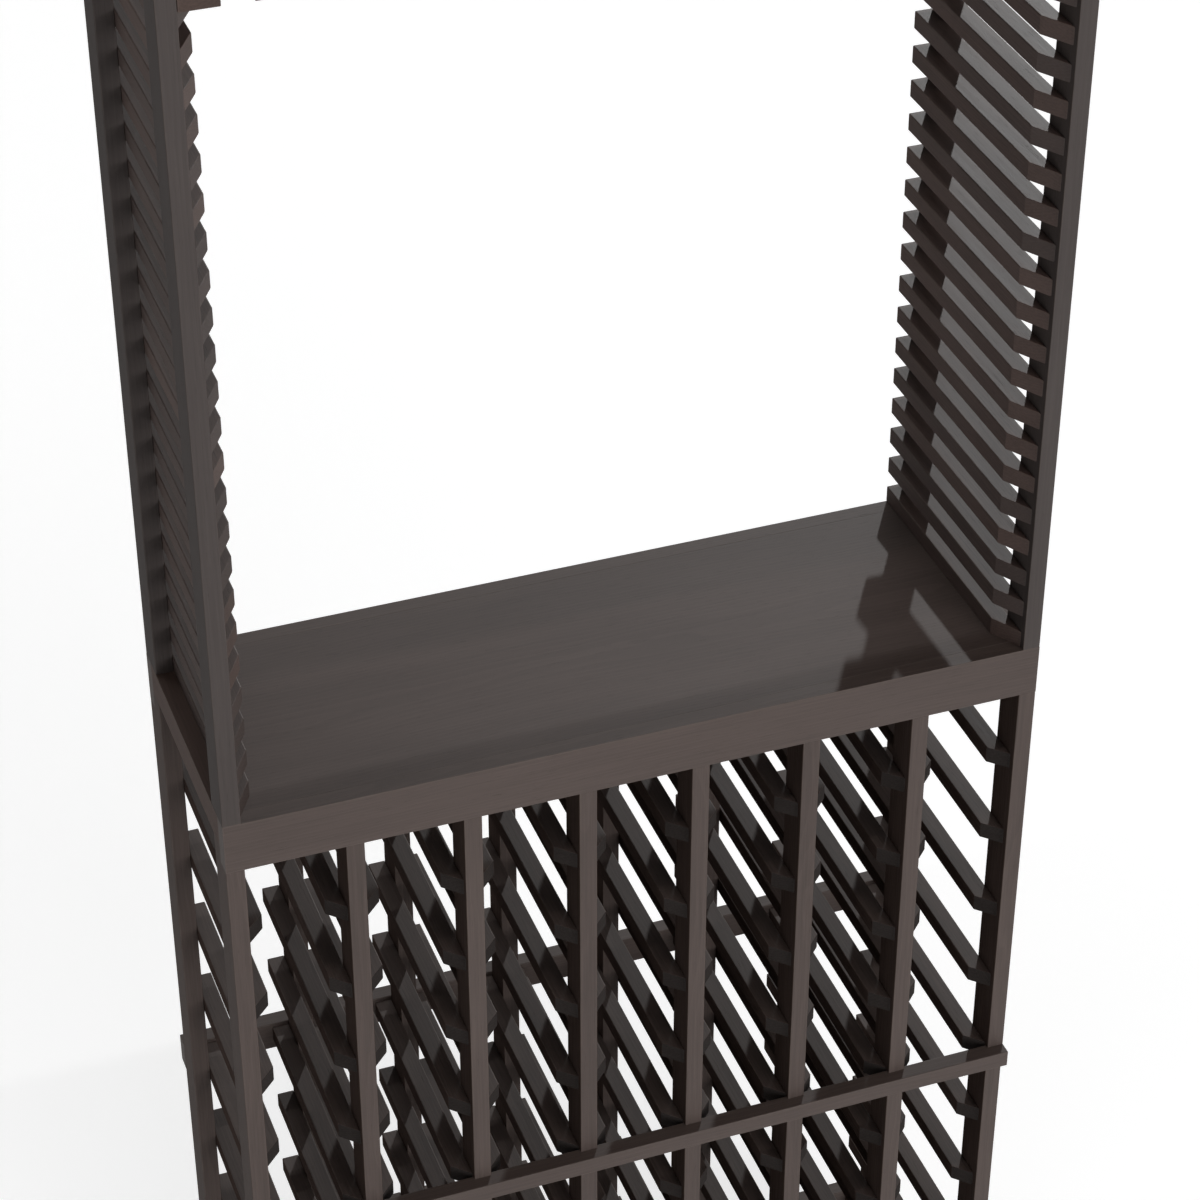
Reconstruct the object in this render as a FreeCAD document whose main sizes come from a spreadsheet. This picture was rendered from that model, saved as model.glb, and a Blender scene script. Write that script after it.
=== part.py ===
import FreeCAD, Part
import os
import Sketcher

# Wine tasting station: a bottle rack of eight ladders under a table top, and two tall
# side frames above it that carry a stemware rack and a top panel.
# Axes: X to the right, Y to the rear, Z up. The origin is on the floor under the middle.
# All lengths are in millimetres and all angles in degrees.

os.makedirs("parts", exist_ok=True)
doc = FreeCAD.newDocument("TastingStation")
sheet = doc.addObject("Spreadsheet::Sheet", "Sizes")

sizes = [
    ("column_count", 7, "bottle columns side by side"),
    ("column_pitch", 112, "from one ladder to the next"),
    ("rack_depth", 281, "front face to rear face of the uprights"),
    ("row_count", 10, "bottle rows in each column"),
    ("row_pitch", 94.5, "from one bottle row to the next"),
    ("foot_clearance", 39.2, "floor to the underside of the lowest rails"),
    ("first_rail_drop", 128.8, "table surface down to the top of the highest rails"),
    ("upright_width", 17.5, "uprights and posts, seen from the front"),
    ("upright_depth", 38, "uprights and posts, seen from the side"),
    ("rail_width", 17.5, "bottle rails, across"),
    ("rail_height", 17.5, "bottle rails, upright"),
    ("rail_end_angle", 45, "bevel of the bottle rails' front ends"),
    ("rail_band_gap", 1.8, "gap between the let-in front bands and the rails' tips"),
    ("apron_height", 53, "apron under the table's front and rear edge"),
    ("apron_thickness", 17.5, "how deep the aprons are let into the uprights"),
    ("strip_height", 33.3, "edging strip at each end of the table"),
    ("panel_thickness", 17.5, "table panel"),
    ("middle_row_count", 6, "rows from the floor to the one that the middle bands lie at"),
    ("lower_row_count", 1, "rows from the floor to the one that the lower bands lie at"),
    ("band_height", 19.05, "front bands"),
    ("band_thickness", 17.5, "front bands"),
    ("band_notch", 4.7, "how deep the front bands are let into the uprights"),
    ("band_drop", 2.4, "top of a row's rails down to the top of its front band"),
    ("rear_band_height", 33.3, "rear bands"),
    ("rear_band_thickness", 17.5, "rear bands"),
    ("side_rail_count", 31, "shelf rails in each upper side frame"),
    ("side_rail_pitch", 34.8, "from one shelf rail to the next"),
    ("side_rail_width", 17.5, "shelf rails, across"),
    ("side_rail_height", 17.5, "shelf rails, upright"),
    ("side_rail_angle", 60, "bevel of the shelf rails' front ends"),
    ("stemware_rail_count", 23, "shelf rails from the table to the one under the stemware rack"),
    ("shelf_play", 1.4, "play of a shelf board between two shelf rails"),
    ("side_play", 0.3, "play of a shelf board at each post"),
    ("flange_width", 85.4, "stemware flanges, which the glass feet lie on"),
    ("web_width", 17.5, "strips that hang the flanges under the shelf"),
    ("top_rail_height", 53, "rails across the top, front and rear"),
    ("top_rail_thickness", 17.5, "how deep the top rails are let into the posts"),
    ("top_panel_thickness", 17.5, "panel on the posts"),
    ("edge_ease", 0.6, "chamfer along the edges of sticks that hands touch"),
]
for line, (alias, number, note) in enumerate(sizes, start=1):
    sheet.set("A" + str(line), note)
    sheet.set("B" + str(line), str(number))
    sheet.setAlias("B" + str(line), alias)
doc.recompute()

# Places that several pieces share, each worked out once from the sizes.
places = doc.addObject("App::VarSet", "Places")


def place(name, formula):
    places.addProperty("App::PropertyFloat", name)
    places.setExpression(name, formula)
    doc.recompute()


place("width", "Sizes.column_count * Sizes.column_pitch + Sizes.upright_width")
place("left_side", "-width / 2")
place("right_side", "width / 2")
place("band_proud", "Sizes.band_thickness - Sizes.band_notch")
place("front_face", "(band_proud - Sizes.rack_depth - Sizes.rear_band_thickness) / 2")
place("rear_face", "front_face + Sizes.rack_depth")
place("rail_setback", "Sizes.band_notch + Sizes.rail_band_gap")
place("inner_width", "width - 2 * Sizes.upright_width")

place("lowest_rail_top", "Sizes.foot_clearance + Sizes.rail_height")
place("rows_height", "(Sizes.row_count - 1) * Sizes.row_pitch")
place("table_top", "lowest_rail_top + rows_height + Sizes.first_rail_drop")
place("table_under", "table_top - Sizes.panel_thickness")
place("strip_under", "table_top - Sizes.strip_height")
place("apron_under", "table_top - Sizes.apron_height")
place("middle_row_top", "lowest_rail_top + (Sizes.middle_row_count - 1) * Sizes.row_pitch")
place("lower_row_top", "lowest_rail_top + (Sizes.lower_row_count - 1) * Sizes.row_pitch")
place("middle_band_top", "middle_row_top - Sizes.band_drop")
place("lower_band_top", "lower_row_top - Sizes.band_drop")
place("middle_band_axis", "middle_band_top - Sizes.band_height / 2")
place("lower_band_axis", "lower_band_top - Sizes.band_height / 2")

place("side_rails_height", "(Sizes.side_rail_count - 1) * Sizes.side_rail_pitch")
place("top_rail_under", "table_top + side_rails_height + Sizes.side_rail_height")
place("station_top", "top_rail_under + Sizes.top_rail_height")
place("post_top", "station_top - Sizes.top_panel_thickness")
place("shelf_thickness", "Sizes.side_rail_pitch - Sizes.side_rail_height - Sizes.shelf_play")
place("stemware_rise", "(Sizes.stemware_rail_count - 1) * Sizes.side_rail_pitch")
place("flange_under", "table_top + stemware_rise + Sizes.side_rail_height")
place("flange_top", "flange_under + shelf_thickness")
place("shelf_under", "flange_under + Sizes.side_rail_pitch")


def value(formula):
    return float(places.evalExpression(formula))


ladder_count = int(value("Sizes.column_count")) + 1
turned_round = FreeCAD.Rotation(FreeCAD.Vector(0, 0, 1), 180)
pieces = {}


# A body whose corner stands at a place given by three formulas. A turned body faces the
# rear: its own x runs to the left and its own y to the front.
def new_body(label, x, y, z, turned=False):
    body = doc.addObject("PartDesign::Body", label)
    body.Label = label
    body.AllowCompound = True
    if turned:
        body.Placement = FreeCAD.Placement(FreeCAD.Vector(), turned_round)
    body.setExpression("Placement.Base.x", x)
    body.setExpression("Placement.Base.y", y)
    body.setExpression("Placement.Base.z", z)
    pieces[label] = body
    return body


def origin_feature(body, role):
    return next(feature for feature in body.Origin.OriginFeatures if feature.Role == role)


def new_sketch(body, role):
    sketch = body.newObject("Sketcher::SketchObject", body.Name + "_sketch")
    sketch.AttachmentSupport = [(origin_feature(body, role), "")]
    sketch.MapMode = "FlatFace"
    return sketch


# Ties a sketched point to the sketch's axes at the distances that two formulas give.
def tie_point(sketch, line, end, across, up):
    for kind, axis, formula in (("DistanceX", -2, across), ("DistanceY", -1, up)):
        if formula == "0":
            sketch.addConstraint(Sketcher.Constraint("PointOnObject", line, end, axis))
        else:
            tie = Sketcher.Constraint(kind, -1, 1, line, end, value(formula))
            number = sketch.addConstraint(tie)
            sketch.setExpression("Constraints[" + str(number) + "]", formula)


# A closed outline of straight lines through corners given as pairs of formulas.
def draw_outline(sketch, corners):
    first = sketch.GeometryCount
    count = len(corners)
    points = [FreeCAD.Vector(value(across), value(up), 0) for across, up in corners]
    for i in range(count):
        sketch.addGeometry(Part.LineSegment(points[i], points[(i + 1) % count]), False)
    for i in range(count):
        following = first + (i + 1) % count
        sketch.addConstraint(Sketcher.Constraint("Coincident", first + i, 2, following, 1))
    for i, (across, up) in enumerate(corners):
        tie_point(sketch, first + i, 1, across, up)


def add_pad(body, sketch, formula):
    pad = body.newObject("PartDesign::Pad", body.Name + "_pad")
    pad.Profile = sketch
    pad.setExpression("Length", formula)
    sketch.Visibility = False
    body.Tip = pad
    doc.recompute()
    return pad


# Eases the edges that run along one axis and are longer than a given length.
def ease_long_edges(body, axis, longer_than):
    base = body.Tip
    names = []
    for number, edge in enumerate(base.Shape.Edges, start=1):
        run = edge.lastVertex().Point - edge.firstVertex().Point
        if abs(run.dot(axis)) > longer_than:
            names.append("Edge" + str(number))
    chamfer = body.newObject("PartDesign::Chamfer", body.Name + "_ease")
    chamfer.Base = (base, names)
    chamfer.setExpression("Size", "Sizes.edge_ease")
    body.Tip = chamfer
    doc.recompute()


def repeat(body, features, role, length, count):
    pattern = body.newObject("PartDesign::LinearPattern", body.Name + "_row")
    pattern.Originals = features
    pattern.Direction = (origin_feature(body, role), [""])
    pattern.setExpression("Length", length)
    pattern.setExpression("Occurrences", count)
    body.Tip = pattern
    doc.recompute()


# An upright stick whose outer face is its own y = 0. Its top is rebated for the board
# that lies across it, and its outer face is notched for the front bands.
def add_upright(label, x, y, z, top, rebate_depth, rebate_under, bands, turned):
    body = new_body(label, x, y, z, turned)
    corners = [
        ("0", "0"),
        ("Sizes.upright_depth", "0"),
        ("Sizes.upright_depth", top),
        (rebate_depth, top),
        (rebate_depth, rebate_under),
        ("0", rebate_under),
    ]
    for band_top in bands:
        band_under = band_top + " - Sizes.band_height"
        corners.append(("0", band_top))
        corners.append(("Sizes.band_notch", band_top))
        corners.append(("Sizes.band_notch", band_under))
        corners.append(("0", band_under))
    sketch = new_sketch(body, "YZ_Plane")
    draw_outline(sketch, corners)
    add_pad(body, sketch, "Sizes.upright_width")
    ease_long_edges(body, FreeCAD.Vector(0, 0, 1), value("2 * Sizes.upright_depth"))
    return body


# A straight board with its corner at (x, y, z) and its size given by three formulas.
def add_board(label, x, y, z, length, depth, height, turned=False):
    body = new_body(label, x, y, z, turned)
    sketch = new_sketch(body, "XY_Plane")
    draw_outline(sketch, [("0", "0"), (length, "0"), (length, depth), ("0", depth)])
    add_pad(body, sketch, height)
    return body


# Horizontal sticks one above the other. Seen from above, each runs back from its
# bevelled front end, and its long side is nailed to the inner face of a stick at x = 0
# (a "right" stick) or at x = its own width (a "left" stick).
def add_rail_stack(label, x, z, outlines, height, stack_height, count):
    body = new_body(label, x, "Places.front_face", z)
    sketch = new_sketch(body, "XY_Plane")
    for corners in outlines:
        draw_outline(sketch, corners)
    pad = add_pad(body, sketch, height)
    repeat(body, [pad], "Z_Axis", stack_height, count)
    ease_long_edges(body, FreeCAD.Vector(0, 1, 0), value("Sizes.rack_depth / 2"))


def left_rail(width, angle):
    bevel_end = "Places.rail_setback + " + width + " * tan(" + angle + ")"
    return [
        (width, "Places.rail_setback"),
        (width, "Sizes.rack_depth"),
        ("0", "Sizes.rack_depth"),
        ("0", bevel_end),
    ]


def right_rail(start, width, angle):
    bevel_end = "Places.rail_setback + " + width + " * tan(" + angle + ")"
    outer = start + " + " + width
    return [
        (start, "Places.rail_setback"),
        (outer, bevel_end),
        (outer, "Sizes.rack_depth"),
        (start, "Sizes.rack_depth"),
    ]


def ladder_x(number):
    return "Places.left_side + " + str(number) + " * Sizes.column_pitch"


# Ladders: a front and a rear upright each, with the bottle rails on their inner faces.
for number in range(ladder_count):
    at_end = number in (0, ladder_count - 1)
    top = "Places.strip_under" if at_end else "Places.table_under"
    left = ladder_x(number)
    name = str(number + 1)
    add_upright(
        "front_upright_" + name, left, "Places.front_face", "0", top,
        "Sizes.apron_thickness", "Places.apron_under",
        ("Places.middle_band_top", "Places.lower_band_top"), False,
    )
    add_upright(
        "rear_upright_" + name, left + " + Sizes.upright_width", "Places.rear_face", "0", top,
        "Sizes.apron_thickness", "Places.apron_under", (), True,
    )
    rails = []
    if number > 0:
        rails.append(left_rail("Sizes.rail_width", "Sizes.rail_end_angle"))
    if number < ladder_count - 1:
        start = "Sizes.rail_width + Sizes.upright_width"
        rails.append(right_rail(start, "Sizes.rail_width", "Sizes.rail_end_angle"))
    add_rail_stack(
        "ladder_rails_" + name, left + " - Sizes.rail_width", "Sizes.foot_clearance",
        rails, "Sizes.rail_height", "Places.rows_height", "Sizes.row_count",
    )

# Table: a panel framed by the aprons and the edging strips, all flush on top.
table_depth = "Sizes.rack_depth - 2 * Sizes.apron_thickness"
behind_apron = "Places.front_face + Sizes.apron_thickness"
add_board(
    "front_apron", "Places.left_side", "Places.front_face", "Places.apron_under",
    "Places.width", "Sizes.apron_thickness", "Sizes.apron_height",
)
add_board(
    "rear_apron", "Places.right_side", "Places.rear_face", "Places.apron_under",
    "Places.width", "Sizes.apron_thickness", "Sizes.apron_height", turned=True,
)
for side, x in (("left", ladder_x(0)), ("right", ladder_x(ladder_count - 1))):
    add_board(
        side + "_edge_strip", x, behind_apron, "Places.strip_under",
        "Sizes.upright_width", table_depth, "Sizes.strip_height",
    )
add_board(
    "table_panel", "Places.left_side + Sizes.upright_width", behind_apron,
    "Places.table_under", "Places.inner_width", table_depth, "Sizes.panel_thickness",
)

# Bands: the front ones let into the uprights, the rear ones laid on from behind.
for level in ("middle", "lower"):
    band_top = "Places." + level + "_band_top"
    axis = "Places." + level + "_band_axis"
    rear_plane = "Places.rear_face + Sizes.rear_band_thickness"
    front_band = add_board(
        level + "_front_band", "Places.left_side", "Places.front_face - Places.band_proud",
        band_top + " - Sizes.band_height",
        "Places.width", "Sizes.band_thickness", "Sizes.band_height",
    )
    rear_band = add_board(
        level + "_rear_band", "Places.right_side", rear_plane,
        axis + " - Sizes.rear_band_height / 2",
        "Places.width", "Sizes.rear_band_thickness", "Sizes.rear_band_height", turned=True,
    )
    for band in (front_band, rear_band):
        ease_long_edges(band, FreeCAD.Vector(1, 0, 0), value("Sizes.column_pitch"))

# Upper side frames: two posts each, and the shelf rails on their inner faces.
post_height = "Places.post_top - Places.table_top"
post_rebate = "Places.top_rail_under - Places.table_top"
stack = ("Sizes.side_rail_height", "Places.side_rails_height", "Sizes.side_rail_count")
for side, x in (("left", ladder_x(0)), ("right", ladder_x(ladder_count - 1))):
    add_upright(
        side + "_front_post", x, "Places.front_face", "Places.table_top", post_height,
        "Sizes.top_rail_thickness", post_rebate, (), False,
    )
    add_upright(
        side + "_rear_post", x + " + Sizes.upright_width", "Places.rear_face",
        "Places.table_top", post_height, "Sizes.top_rail_thickness", post_rebate, (), True,
    )
    if side == "left":
        corner = x + " + Sizes.upright_width"
        outline = right_rail("0", "Sizes.side_rail_width", "Sizes.side_rail_angle")
    else:
        corner = x + " - Sizes.side_rail_width"
        outline = left_rail("Sizes.side_rail_width", "Sizes.side_rail_angle")
    add_rail_stack(side + "_shelf_rails", corner, "Places.table_top", [outline], *stack)

# Stemware rack: flanges under the ladder lines, hung by webs from a shelf that lies on
# the shelf rails. The two end flanges lie on shelf rails and need no web.
half_upright = "Sizes.upright_width / 2"
end_flange = "Sizes.flange_width / 2 - " + half_upright + " - Sizes.side_play"
for number in range(ladder_count):
    name = str(number + 1)
    line_x = ladder_x(number) + " + " + half_upright
    if number == 0:
        flange_x = ladder_x(number) + " + Sizes.upright_width + Sizes.side_play"
    else:
        flange_x = line_x + " - Sizes.flange_width / 2"
    at_end = number in (0, ladder_count - 1)
    flange = add_board(
        "stemware_flange_" + name, flange_x, "Places.front_face", "Places.flange_under",
        end_flange if at_end else "Sizes.flange_width", "Sizes.rack_depth",
        "Places.shelf_thickness",
    )
    ease_long_edges(flange, FreeCAD.Vector(0, 1, 0), value("Sizes.rack_depth / 2"))
    if not at_end:
        add_board(
            "stemware_web_" + name, line_x + " - Sizes.web_width / 2", "Places.front_face",
            "Places.flange_top", "Sizes.web_width", "Sizes.rack_depth",
            "Places.shelf_under - Places.flange_top",
        )
add_board(
    "stemware_shelf", "Places.left_side + Sizes.upright_width + Sizes.side_play",
    "Places.front_face", "Places.shelf_under", "Places.inner_width - 2 * Sizes.side_play",
    "Sizes.rack_depth", "Places.shelf_thickness",
)

# Top: rails let into the posts, front and rear, and a panel between them.
for label, x, y, turned in (
    ("front_top_rail", "Places.left_side", "Places.front_face", False),
    ("rear_top_rail", "Places.right_side", "Places.rear_face", True),
):
    add_board(
        label, x, y, "Places.top_rail_under", "Places.width",
        "Sizes.top_rail_thickness", "Sizes.top_rail_height", turned,
    )
add_board(
    "top_panel", "Places.left_side", "Places.front_face + Sizes.top_rail_thickness",
    "Places.post_top", "Places.width",
    "Sizes.rack_depth - 2 * Sizes.top_rail_thickness", "Sizes.top_panel_thickness",
)

doc.recompute()
for item in doc.Objects:
    if "Invalid" in item.State or "Error" in item.State:
        raise RuntimeError(item.Label + " failed: " + str(item.State))
for label, body in pieces.items():
    if body.Shape.isNull() or not body.Shape.isValid():
        raise RuntimeError(label + " has no valid shape")
for label, body in pieces.items():
    body.Shape.exportStep("parts/" + label + ".step")
print(len(pieces), "sub-parts,", sum(len(body.Shape.Solids) for body in pieces.values()), "solids")
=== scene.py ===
import math
import random

import bmesh
import bpy
from mathutils import Euler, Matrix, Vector


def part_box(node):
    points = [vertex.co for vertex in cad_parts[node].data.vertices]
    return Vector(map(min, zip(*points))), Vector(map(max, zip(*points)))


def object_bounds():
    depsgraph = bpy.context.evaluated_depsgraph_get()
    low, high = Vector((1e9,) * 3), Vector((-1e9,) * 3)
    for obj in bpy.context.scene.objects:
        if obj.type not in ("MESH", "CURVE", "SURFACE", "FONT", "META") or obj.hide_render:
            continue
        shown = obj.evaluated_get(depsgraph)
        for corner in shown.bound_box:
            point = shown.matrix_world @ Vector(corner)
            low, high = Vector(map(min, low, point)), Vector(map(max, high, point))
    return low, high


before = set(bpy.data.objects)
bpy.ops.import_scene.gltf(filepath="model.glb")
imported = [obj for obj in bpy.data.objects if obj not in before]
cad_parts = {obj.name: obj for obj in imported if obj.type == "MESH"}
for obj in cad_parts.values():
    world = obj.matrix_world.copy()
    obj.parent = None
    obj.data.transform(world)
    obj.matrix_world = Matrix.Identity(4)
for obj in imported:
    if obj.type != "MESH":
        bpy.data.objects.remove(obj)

cadLow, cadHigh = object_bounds()
print("frame loaded,", len(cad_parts), "nodes")


class Flow:
    # a number on its way through a material, so that + - * / write its Math nodes
    def __init__(self, socket):
        self.socket = socket

    def math(self, operation, *others):
        tree = self.socket.id_data
        node = tree.nodes.new("ShaderNodeMath")
        node.operation = operation
        for place, value in enumerate((self,) + others):
            if isinstance(value, Flow):
                tree.links.new(value.socket, node.inputs[place])
            else:
                node.inputs[place].default_value = value
        return Flow(node.outputs[0])

    def __add__(self, other):
        return self.math("ADD", other)

    __radd__ = __add__

    def __mul__(self, other):
        return self.math("MULTIPLY", other)

    __rmul__ = __mul__

    def __sub__(self, other):
        return self.math("SUBTRACT", other)

    def __rsub__(self, other):
        return (self * -1) + other

    def __truediv__(self, other):
        return self.math("DIVIDE", other)

    def __abs__(self):
        return self.math("ABSOLUTE")


class Finish:
    # a material or a world while its nodes are put in
    def __init__(self, holder):
        holder.use_nodes = True
        self.holder = holder
        self.tree = holder.node_tree
        self.tree.nodes.clear()

    def add(self, kind, settings=None, sockets=None):
        node = self.tree.nodes.new("ShaderNode" + kind)
        for name, value in (settings or {}).items():
            if name == "stops":
                self.setStops(node.color_ramp, value)
            else:
                setattr(node, name, value)
        for name, value in (sockets or {}).items():
            if isinstance(value, Flow):
                self.tree.links.new(value.socket, node.inputs[name])
            elif isinstance(value, bpy.types.NodeSocket):
                self.tree.links.new(value, node.inputs[name])
            else:
                node.inputs[name].default_value = value
        return node

    def setStops(self, ramp, stops):
        while len(ramp.elements) < len(stops):
            ramp.elements.new(0.5)
        for element, (position, colour) in zip(ramp.elements, stops):
            element.position = position
            element.color = (*colour, 1)

    def vector(self, x, y, z):
        return self.add("CombineXYZ", {}, {0: x, 1: y, 2: z}).outputs[0]

    def parts(self, socket):
        return [Flow(out) for out in self.add("SeparateXYZ", {}, {0: socket}).outputs]

    def noise(self, x, y, z, detail=2.0, roughness=0.5):
        spot = self.vector(x, y, z)
        values = {"Vector": spot, "Scale": 1.0, "Detail": detail, "Roughness": roughness}
        return Flow(self.add("TexNoise", {"noise_dimensions": "3D"}, values).outputs[0])

    def step(self, value, low, high, start=0.0, end=1.0):
        values = {0: value, 1: low, 2: high, 3: start, 4: end}
        return Flow(self.add("MapRange", {"interpolation_type": "SMOOTHSTEP"}, values).outputs[0])

    def mixColour(self, factor, first, second, way="MIX"):
        settings = {"data_type": "RGBA", "blend_type": way, "clamp_factor": True}
        return self.add("Mix", settings, {0: factor, 6: first, 7: second}).outputs[2]


mm = 1000  # in a metre

stain = {
    "stops": (0.0, 0.45, 1.0),  # where the next three shades stand
    "deep": (0.0335, 0.0215, 0.0172),  # soft early wood, which drinks most stain
    "middle": (0.063, 0.0435, 0.0370),
    "pale": (0.0965, 0.071, 0.0615),  # hard late wood
    "pore": (0.016, 0.0095, 0.0075),
    "wornAndHighlight": (0.170, 0.130, 0.110),  # eased edges, where the stain is thin, lightened further as a painted edge highlight
    "cool": (0.46, 0.54, 0.59),  # what the cooler sticks are multiplied by
    "coolBlur": 0.04,
    "poreShare": 0.55,  # how far the pores cover the shade round them
    "edge": (0.2, 1.5),  # mm from an edge, where the thin stain and painted edge highlight start to fade and where they end
    "rubbed": (0.35, 0.7),  # the noise that breaks up the thin stain and painted edge highlight
    "leastRubbed": 0.35,
}

# how much each feature moves the wood's shade, from 0 deep to 1 pale
tones = {"middle": 0.40, "late": 0.16, "cloud": 0.5, "end": 0.16}

gloss = {
    "sawn": 0.32,  # how much rougher the broad sides are than the planed edges
    "ends": 0.12,  # how much rougher the ends are, unless a kind says otherwise
    "fibre": 0.16,
    "pore": 0.10,
    "ior": 1.5,
    "specular": 0.5,
}

relief = {"fibre": 0.8, "pore": 0.5, "late": 0.15, "strength": 0.6, "depth": 0.00010}  # depth in m

# the least and most of a normal's part along an axis at which a face counts as an end or a side
faces = {"end": (0.30, 0.75), "side": (0.5, 0.9)}

# mm, but for the powers and limits. The heart of the rings lies outside the stick, and drifts along it
figure = {
    "apart": 4000.0,  # how far from each other in the pattern two sticks may start
    "seedApart": 17.0,
    "heartAcross": 130.0,
    "heartUp": 22.0,
    "heartUpMore": 46.0,
    "driftLength": 310.0,
    "driftChance": 90.0,
    "driftAcross": 26.0,
    "driftUp": 14.0,
    "bendWidth": 24.0,
    "bendLength": 170.0,
    "bendDepth": 9.0,
    "latePower": 2.2,
    "lateEnd": 0.90,
    "cloudWidth": 34.0,
    "cloudLength": 210.0,
    "rubWidth": 9.0,
    "rubLength": 46.0,
    "fibreAcross": 0.62,  # fibres and pores in turns per mm
    "fibreAlong": 0.011,
    "fibreDetail": 3.0,
    "fibreRough": 0.62,
    "poreAcross": 2.1,
    "poreAlong": 0.05,
    "poreLimits": (0.66, 0.76),
}

# grain: the way the fibres run; ring: width of a growth ring in mm; tone: how much sticks differ;
# wear: how much lighter the edges are, partly stain rubbed thin and partly a painted edge highlight;
# fibre: how strongly the fibres show; dull: the roughness of the planed faces; matt: how far the sides that
# face into the columns lose their gloss; ends: how much rougher the ends are; cool: the share of sticks
# that are cooler, where more than 1 takes all, and coolSides: how far that shows on their long faces;
# shade: what the stain is multiplied by, which for the shelf rails and side trims is made lighter as
# painted light
sticks = {
    "upright": {
        "grain": "Z", "ring": 3.0, "tone": 0.16, "wearAndHighlight": 0.30, "fibre": 0.85, "dull": 0.66,
        "matt": 0.9, "shade": (1, 1, 1),
    },
    "post": {
        "grain": "Z", "ring": 3.0, "tone": 0.12, "wearAndHighlight": 0.20, "fibre": 0.75, "dull": 0.64,
        "matt": 0.25, "shade": (0.66, 0.71, 0.75),
    },
    "rail": {
        "grain": "Y", "ring": 2.6, "tone": 0.24, "wearAndHighlight": 0.28, "fibre": 0.9, "dull": 0.66,
        "matt": 0.9, "ends": 0.34, "cool": 1.1, "coolSides": 0.0, "shade": (1, 1, 1),
    },
    # the shelf rails' stain is made lighter by their shade, as painted light for the light that reaches
    # these rails
    "shelfRail": {
        "grain": "Y", "ring": 2.6, "tone": 0.30, "wearAndHighlight": 0.16, "fibre": 0.8, "dull": 0.61,
        "ends": -0.20, "cool": 0.5, "coolSides": 0.3, "shade": (1.24, 1.14, 1.12),
    },
    "trim": {
        "grain": "X", "ring": 3.6, "tone": 0.04, "wearAndHighlight": 0.20, "fibre": 0.65, "dull": 0.64,
        "shade": (1, 1, 1),
    },
    # the side trims' stain is made lighter and redder by their shade, as painted light for the light on the
    # edge strip
    "sideTrim": {
        "grain": "Y", "ring": 3.2, "tone": 0.14, "wearAndHighlight": 0.24, "fibre": 0.8, "dull": 0.66,
        "shade": (1.18, 1.06, 1.0),
    },
    "panel": {
        "grain": "X", "ring": 4.6, "tone": 0.04, "wearAndHighlight": 0.10, "fibre": 0.38, "dull": 0.64,
        "shade": (0.93, 0.92, 0.92),
    },
}

railStacks = {
    "ladder": {"height": 17.5, "pitch": 94.5},  # mm
    "shelf": {"height": 17.5, "pitch": 34.8},
}

# what makes the chance numbers of two sticks differ
chance = {"firstSeed": 11, "row": 7.13, "side": 3.71, "seed": 1.37, "seeds": 97}


def stickChance(finish, seed, row, side):
    # three chance numbers for each stick of a group, or for the one stick of a node
    if row is None:
        dice = random.Random(seed)
        return dice.random(), dice.random(), dice.random()
    code = row * chance["row"] + side * chance["side"] + (seed % chance["seeds"]) * chance["seed"]
    made = finish.add("TexWhiteNoise", {"noise_dimensions": "1D"}, {"W": code})
    return finish.parts(made.outputs["Color"])


def stickPlace(finish, node, stack):
    # the place on one stick in mm from its middle, half the stick's size, and its row and side in a group
    low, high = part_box(node)
    middle = (low + high) * mm / 2
    half = (high - low) * mm / 2
    if stack:
        middle.z = low.z * mm + stack["height"] / 2
        half.z = stack["height"] / 2
        half.x = stack["width"] / 2
        middle.x = stack["line"]
    spot = finish.add("TexCoord").outputs["Object"]
    moved = finish.add("Mapping", {}, {"Vector": spot, "Location": -middle, "Scale": (mm, mm, mm)})
    x, y, z = finish.parts(moved.outputs[0])
    row, side = None, None
    if stack:
        row = (z / stack["pitch"] + 0.5).math("FLOOR")
        side = x.math("GREATER_THAN", 0.0) if stack["offset"] else 0
        z = z - row * stack["pitch"]
        if stack["offset"]:
            x = abs(x) - stack["offset"]
    return (x, y, z), half, row, side


def edgeDistance(place, half):
    # mm to the nearest long or short edge: the middle one of the distances to the three faces
    a, b, c = [size - abs(value) for value, size in zip(place, half)]
    return a.math("MINIMUM", b).math("MAXIMUM", a.math("MAXIMUM", b).math("MINIMUM", c))


def outerSide(node):
    # -1 or 1 when a node's left or right side lies in the outside of the whole, else 0
    within = 0.001  # m
    low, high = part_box(node)
    return int(high.x > cadHigh[0] - within) - int(low.x < cadLow[0] + within)


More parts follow.
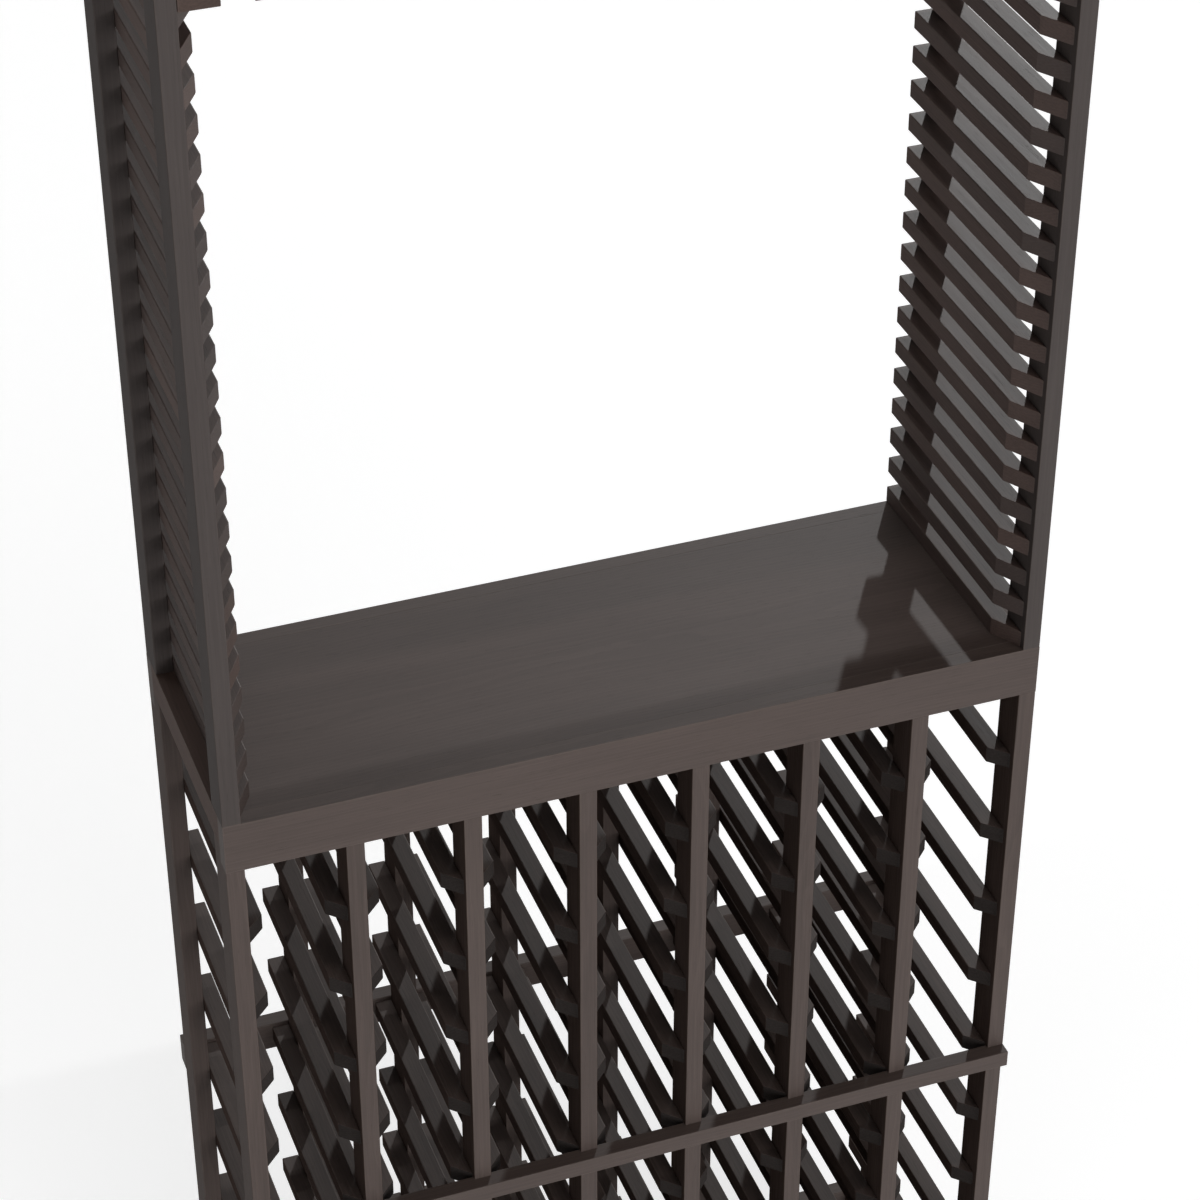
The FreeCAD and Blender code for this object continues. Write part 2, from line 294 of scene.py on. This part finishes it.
def woodFinish(node, kind, seed, stack=None):
    wood = sticks[kind]
    finish = Finish(bpy.data.materials.new(node + "_stain"))
    place, half, row, side = stickPlace(finish, node, stack)
    one, two, three = stickChance(finish, seed, row, side)
    run = "XYZ".index(wood["grain"])
    along = place[run]
    across, up = [place[i] for i in range(3) if i != run]
    start = one * figure["apart"] + seed * figure["seedApart"]

    def pattern(width, length):
        return finish.noise((across + start) / width, up / width, (along + start) / length, 2.0)

    # growth rings round a heart that lies outside the stick and wanders along it
    drift = finish.noise((along + start) / figure["driftLength"], two * figure["driftChance"], 3.0, 1.0)
    bend = pattern(figure["bendWidth"], figure["bendLength"])
    fromHeart = across - (two - 0.5) * figure["heartAcross"] + (drift - 0.5) * figure["driftAcross"]
    aboveHeart = up - figure["heartUp"] - three * figure["heartUpMore"] + (drift - 0.5) * figure["driftUp"]
    fromRings = (fromHeart * fromHeart + aboveHeart * aboveHeart).math("SQRT")
    radius = fromRings + (bend - 0.5) * figure["bendDepth"]
    ring = (radius / wood["ring"]).math("FRACT")
    late = ring.math("POWER", figure["latePower"]) * finish.step(ring, figure["lateEnd"], 1.0, 1.0, 0.0)

    # fibres, pores and slow changes in how the stain took
    acrossFibre, alongFibre = figure["fibreAcross"], figure["fibreAlong"]
    fibre = finish.noise((across + start) * acrossFibre, up * acrossFibre, (along + start) * alongFibre,
                         figure["fibreDetail"], figure["fibreRough"])
    acrossPore, alongPore = figure["poreAcross"], figure["poreAlong"]
    fine = finish.noise((across + start) * acrossPore, up * acrossPore, (along + start) * alongPore, 1.0)
    cloud = pattern(figure["cloudWidth"], figure["cloudLength"])
    pore = finish.step(fine, *figure["poreLimits"])

    facing = finish.parts(finish.add("NewGeometry").outputs["True Normal"])
    endGrain = finish.step(abs(facing[run]), *faces["end"])
    sawn = finish.step(abs(facing[0]), *faces["side"])
    tone = (tones["middle"] + (one - 0.5) * wood["tone"] + late * tones["late"]
            + (fibre - 0.5) * wood["fibre"] + (cloud - 0.5) * tones["cloud"] - endGrain * tones["end"])
    shades = [[a * b for a, b in zip(stain[name], wood["shade"])] for name in ("deep", "middle", "pale")]
    stops = list(zip(stain["stops"], shades))
    colour = finish.add("ValToRGB", {"stops": stops}, {0: tone}).outputs[0]
    colour = finish.mixColour(pore * stain["poreShare"], colour, (*stain["pore"], 1))
    rubbed = pattern(figure["rubWidth"], figure["rubLength"])
    nearEdge = finish.step(edgeDistance(place, half), *stain["edge"], 1.0, 0.0)
    # lighter near the edges: stain rubbed thin there, and a painted edge highlight along them
    wearAndHighlight = nearEdge * finish.step(rubbed, *stain["rubbed"], stain["leastRubbed"], 1.0)
    colour = finish.mixColour(wearAndHighlight * wood["wearAndHighlight"], colour, (*stain["wornAndHighlight"], 1))
    if "cool" in wood:
        blur = stain["coolBlur"]
        chosen = finish.step(three, wood["cool"] - blur, wood["cool"] + blur, 1.0, 0.0)
        onEnds = finish.step(abs(facing[run]), *faces["end"], wood["coolSides"], 1.0)
        colour = finish.mixColour(chosen * onEnds, colour, (*stain["cool"], 1), "MULTIPLY")

    roughness = (wood["dull"] + (fibre - 0.5) * wood["fibre"] * gloss["fibre"] + pore * gloss["pore"]
                 + endGrain * wood.get("ends", gloss["ends"]) + sawn * (1 - endGrain) * gloss["sawn"])
    height = fibre * relief["fibre"] - pore * relief["pore"] + late * relief["late"]
    bumps = {"Strength": relief["strength"], "Distance": relief["depth"], "Height": height}
    bump = finish.add("Bump", {}, bumps)
    sockets = {"Base Color": colour, "Roughness": roughness, "Normal": bump.outputs[0], "IOR": gloss["ior"]}
    surface = finish.add("BsdfPrincipled", {}, {**sockets, "Specular IOR Level": gloss["specular"]})
    if "matt" in wood:
        bare = finish.add("BsdfPrincipled", {}, {**sockets, "Specular IOR Level": 0.0})
        inner = 1 - finish.step(facing[0] * outerSide(node), *faces["side"])
        mixed = {0: sawn * inner * wood["matt"], 1: surface.outputs[0], 2: bare.outputs[0]}
        surface = finish.add("MixShader", {}, mixed)
    finish.add("OutputMaterial", {}, {"Surface": surface.outputs[0]})
    return finish.holder


def stackOf(node):
    # ladder rails and shelf rails are groups of equal sticks at an even pitch. Ladder rails lie on one side
    # of their upright or on both
    low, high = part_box(node)
    if node.startswith("ladder_rails"):
        number = node.rsplit("_", 1)[1]
        uprightLow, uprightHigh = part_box("front_upright_" + number)
        thick = (uprightHigh.x - uprightLow.x) * mm
        side = max(high.x - uprightHigh.x, uprightLow.x - low.x) * mm
        line = (uprightLow.x + uprightHigh.x) * mm / 2
        return {"line": line, "offset": (thick + side) / 2, "width": side, **railStacks["ladder"]}
    line = (low.x + high.x) * mm / 2
    return {"line": line, "offset": 0, "width": (high.x - low.x) * mm, **railStacks["shelf"]}


def kindOf(node):
    if node.startswith("ladder_rails"):
        return "rail"
    if node.endswith("shelf_rails"):
        return "shelfRail"
    if node.endswith("_post"):
        return "post"
    if "edge_strip" in node or "flange" in node or "web" in node:
        return "sideTrim"
    if "apron" in node or "band" in node or "top_rail" in node:
        return "trim"
    if "panel" in node or "shelf" in node:
        return "panel"
    return "upright"


# the sticks' edges are eased a little, and less where they lie flush with each other
eased = {
    "width": 0.0004,  # m
    "flushWidth": 0.0003,
    "flush": ("upright", "apron", "table_panel"),
    "segments": 2,
    "sharp": 30.0,  # degrees
    "weld": 0.00001,  # m
}


def easeEdges(node, piece):
    weld = piece.modifiers.new("weld", "WELD")
    weld.merge_threshold = eased["weld"]
    bevel = piece.modifiers.new("eased_edges", "BEVEL")
    flush = any(word in node for word in eased["flush"])
    bevel.width = eased["flushWidth"] if flush else eased["width"]
    bevel.segments = eased["segments"]
    bevel.limit_method = "ANGLE"
    bevel.angle_limit = math.radians(eased["sharp"])


for number, (node, piece) in enumerate(sorted(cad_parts.items())):
    easeEdges(node, piece)
    kind = kindOf(node)
    stack = stackOf(node) if kind in ("rail", "shelfRail") else None
    piece.material_slots[0].material = woodFinish(node, kind, number + chance["firstSeed"], stack)
print("stained wood on", len(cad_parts), "nodes")


studio = {
    "floorRadius": 180.0,  # m
    "floorSides": 96,
    "floorColour": (0.74, 0.74, 0.74, 1),
    "floorGlow": 0.52,  # what the eye and a gloss see on top of the lit paint
    "wall": 0.65,
    "ceiling": 0.08,
    "wallTop": 0.07,  # sine of the angle where the pale wall starts to fade
    "ceilingStart": 0.25,
    "aimHeight": 1.04,  # m, about the table's
}

# towards: azimuth from the rear to the right, and elevation, in degrees; power in W/m2 at the object.
# Two lamps are suns with a spread in degrees, and two are strips over the object with a size in m.
# gleam: whether a gloss shows the lamp
lamps = {
    "lowRear": {
        "towards": (32.0, 14.0), "power": 1.28, "spread": 1.2, "distance": 6.0, "gleam": True,
    },
    "highRear": {
        "towards": (0.0, 73.2), "power": 0.72, "size": (12.0, 0.2), "distance": 20.0, "gleam": True,
    },
    "highFront": {
        "towards": (180.0, 76.0), "power": 0.46, "size": (12.0, 0.2), "distance": 20.0, "gleam": False,
    },
    "frontFill": {
        "towards": (165.0, 9.0), "power": 2.62, "spread": 50.0, "distance": 6.0, "gleam": True,
    },
}


def makeFloor():
    mesh = bpy.data.meshes.new("studio_floor")
    made = bmesh.new()
    size = {"segments": studio["floorSides"], "radius": studio["floorRadius"]}
    bmesh.ops.create_circle(made, cap_ends=True, **size)
    made.to_mesh(mesh)
    made.free()
    floor = bpy.data.objects.new("studio_floor", mesh)
    bpy.context.scene.collection.objects.link(floor)
    finish = Finish(bpy.data.materials.new("studio_floor_paint"))
    path = finish.add("LightPath").outputs
    seen = Flow(path["Is Camera Ray"]) + Flow(path["Is Glossy Ray"]) + Flow(path["Is Transmission Ray"])
    level = seen.math("MINIMUM", 1.0) * studio["floorGlow"]
    paint = finish.add("BsdfDiffuse", {}, {"Color": studio["floorColour"]})
    glow = finish.add("Emission", {}, {"Color": finish.vector(level, level, level), "Strength": 1.0})
    both = finish.add("AddShader", {}, {0: paint.outputs[0], 1: glow.outputs[0]})
    finish.add("OutputMaterial", {}, {"Surface": both.outputs[0]})
    mesh.materials.append(finish.holder)


def makeWorld():
    world = bpy.data.worlds.new("studio")
    finish = Finish(world)
    height = finish.parts(finish.add("TexCoord").outputs["Generated"])[2]
    share = finish.step(height, studio["wallTop"], studio["ceilingStart"])
    wall = (studio["wall"],) * 3 + (1,)
    ceiling = (studio["ceiling"],) * 3 + (1,)
    colour = finish.mixColour(share, wall, ceiling)
    light = finish.add("Background", {}, {"Color": colour, "Strength": 1.0})
    finish.add("OutputWorld", {}, {"Surface": light.outputs[0]})
    bpy.context.scene.world = world


def makeLamp(name, lamp):
    azimuth, elevation = [math.radians(angle) for angle in lamp["towards"]]
    flat = math.cos(elevation)
    towards = Vector((math.sin(azimuth) * flat, math.cos(azimuth) * flat, math.sin(elevation)))
    if "size" in lamp:
        data = bpy.data.lights.new(name, "AREA")
        data.shape = "RECTANGLE"
        data.size, data.size_y = lamp["size"]
        data.energy = lamp["power"] * math.pi * lamp["distance"] ** 2
    else:
        data = bpy.data.lights.new(name, "SUN")
        data.energy = lamp["power"]
        data.angle = math.radians(lamp["spread"])
    light = bpy.data.objects.new(name, data)
    light.rotation_euler = towards.to_track_quat("Z", "Y").to_euler()
    light.location = towards * lamp["distance"] + Vector((0, 0, studio["aimHeight"]))
    light.visible_glossy = lamp["gleam"]
    bpy.context.scene.collection.objects.link(light)


makeFloor()
makeWorld()
for name, lamp in lamps.items():
    makeLamp(name, lamp)
print("floor, world and lamps made")


eye = {
    "place": (-0.88595, -2.45715, 2.92890),  # m
    "azimuth": 0.3487,  # radians from +Y to +X
    "elevation": -0.6199,
    "lens": 101.763,  # mm
    "sensor": 36.0,
    "shiftY": 0.02,
    "near": 0.1,  # m
    "far": 500.0,
}


def makeCamera():
    camera = bpy.data.cameras.new("photo_camera")
    camera.lens = eye["lens"]
    camera.sensor_width = eye["sensor"]
    camera.shift_y = eye["shiftY"]
    camera.clip_start = eye["near"]
    camera.clip_end = eye["far"]
    holder = bpy.data.objects.new("photo_camera", camera)
    ahead = Vector((0, math.cos(eye["elevation"]), math.sin(eye["elevation"])))
    ahead.rotate(Euler((0, 0, -eye["azimuth"])))
    holder.location = eye["place"]
    holder.rotation_euler = ahead.to_track_quat("-Z", "Y").to_euler()
    bpy.context.scene.collection.objects.link(holder)
    bpy.context.scene.camera = holder


makeCamera()
bpy.context.scene.view_settings.view_transform = "Standard"
print("camera made")
